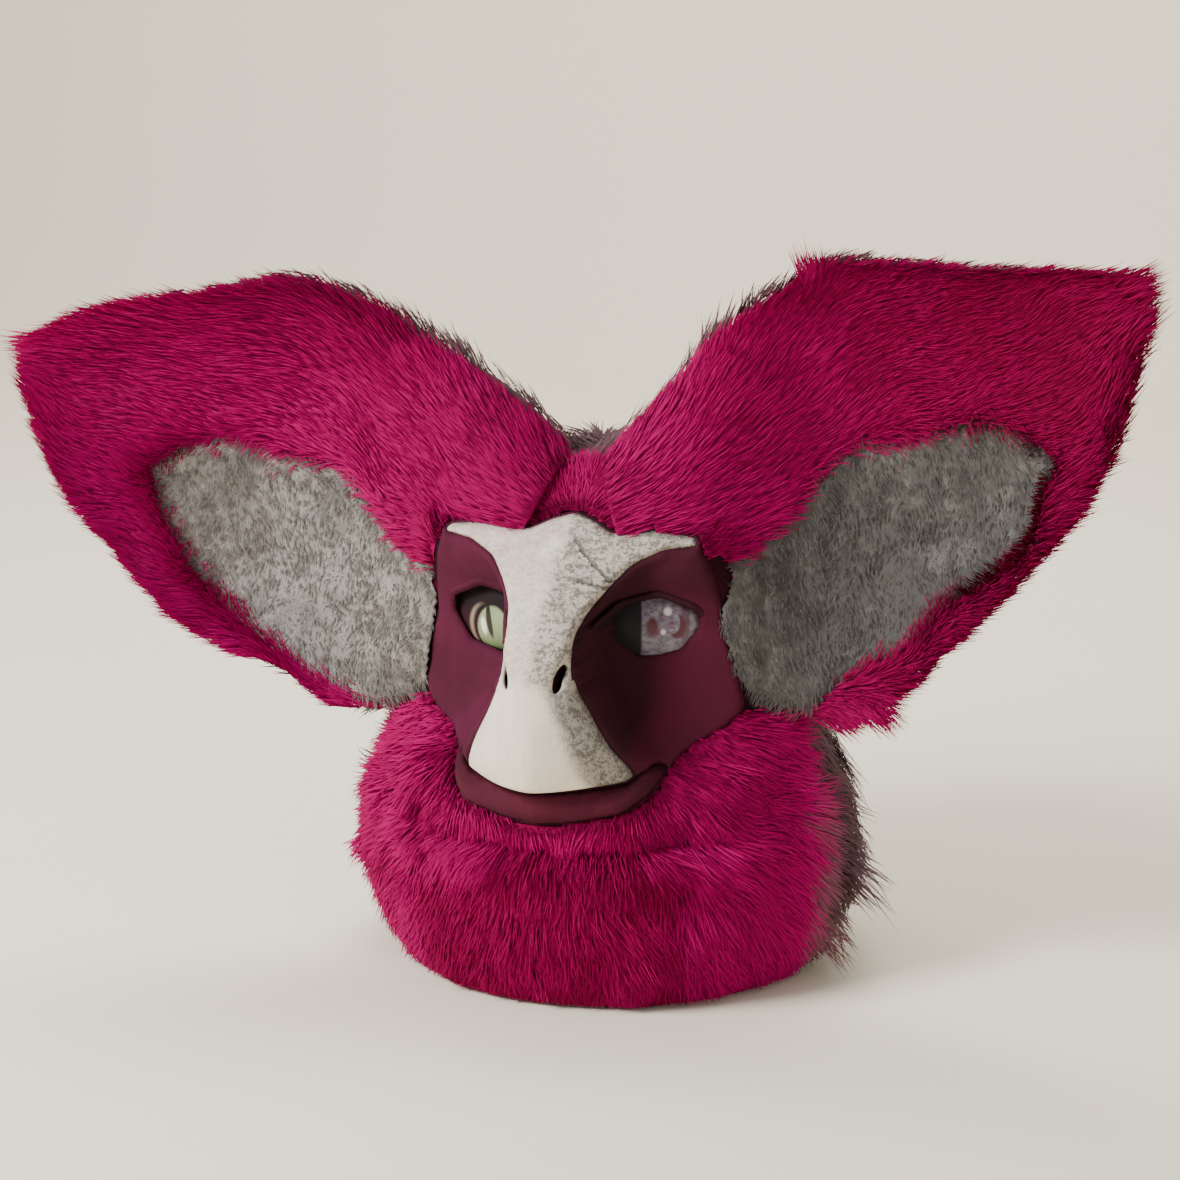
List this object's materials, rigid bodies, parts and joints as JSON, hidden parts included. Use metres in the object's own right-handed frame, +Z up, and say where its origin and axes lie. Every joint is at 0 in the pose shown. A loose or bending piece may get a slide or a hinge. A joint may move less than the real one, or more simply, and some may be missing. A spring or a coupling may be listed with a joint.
{
  "type": "fursuit head",
  "caption": "Full-head animal costume mask: hollow foam shell open at the neck, long magenta fur, large cupped ears, cream muzzle and domed eyes.",
  "frame": {"origin": "under the middle of the whole head, on the surface that the neck rim stands on", "axes": "+X to the right of the face as seen from the front, along the spread of the ears, the face looks along -Y, +Z up"},
  "size_m": [0.6018, 0.3026, 0.4053],
  "materials": {
    "foam": "dark open-cell foam with a cloth face",
    "cream_pile": "cream short-pile cloth, speckled grey",
    "maroon_skin": "maroon suede-like cloth",
    "lip_skin": "dark maroon smooth cloth",
    "lid_skin": "dark maroon smooth cloth",
    "eye_green": "glossy green dome with a slit pupil",
    "eye_lilac": "glossy grey-lilac dome with maroon marks",
    "magenta_fur": "long-pile magenta faux fur",
    "grey_pile": "grey short-pile cloth",
    "taupe_fur": "long-pile taupe faux fur"
  },
  "bodies": {
    "root": {"head_base": "foam", "nose_blaze": "cream_pile", "face_panel_left": "maroon_skin", "face_panel_right": "maroon_skin", "lower_lip": "lip_skin", "eye_left": "eye_green", "eyelid_left": "lid_skin", "ear_left": "magenta_fur", "inner_ear_left": "grey_pile", "ear_back_left": "taupe_fur", "eye_right": "eye_lilac", "eyelid_right": "lid_skin", "ear_right": "magenta_fur", "inner_ear_right": "grey_pile", "ear_back_right": "taupe_fur", "chin_roll": "magenta_fur", "throat_bib": "magenta_fur", "cheek_ruff_left": "magenta_fur", "cheek_ruff_right": "magenta_fur", "forehead_pelt": "magenta_fur", "back_pelt": "taupe_fur"}
  },
  "joints": []
}
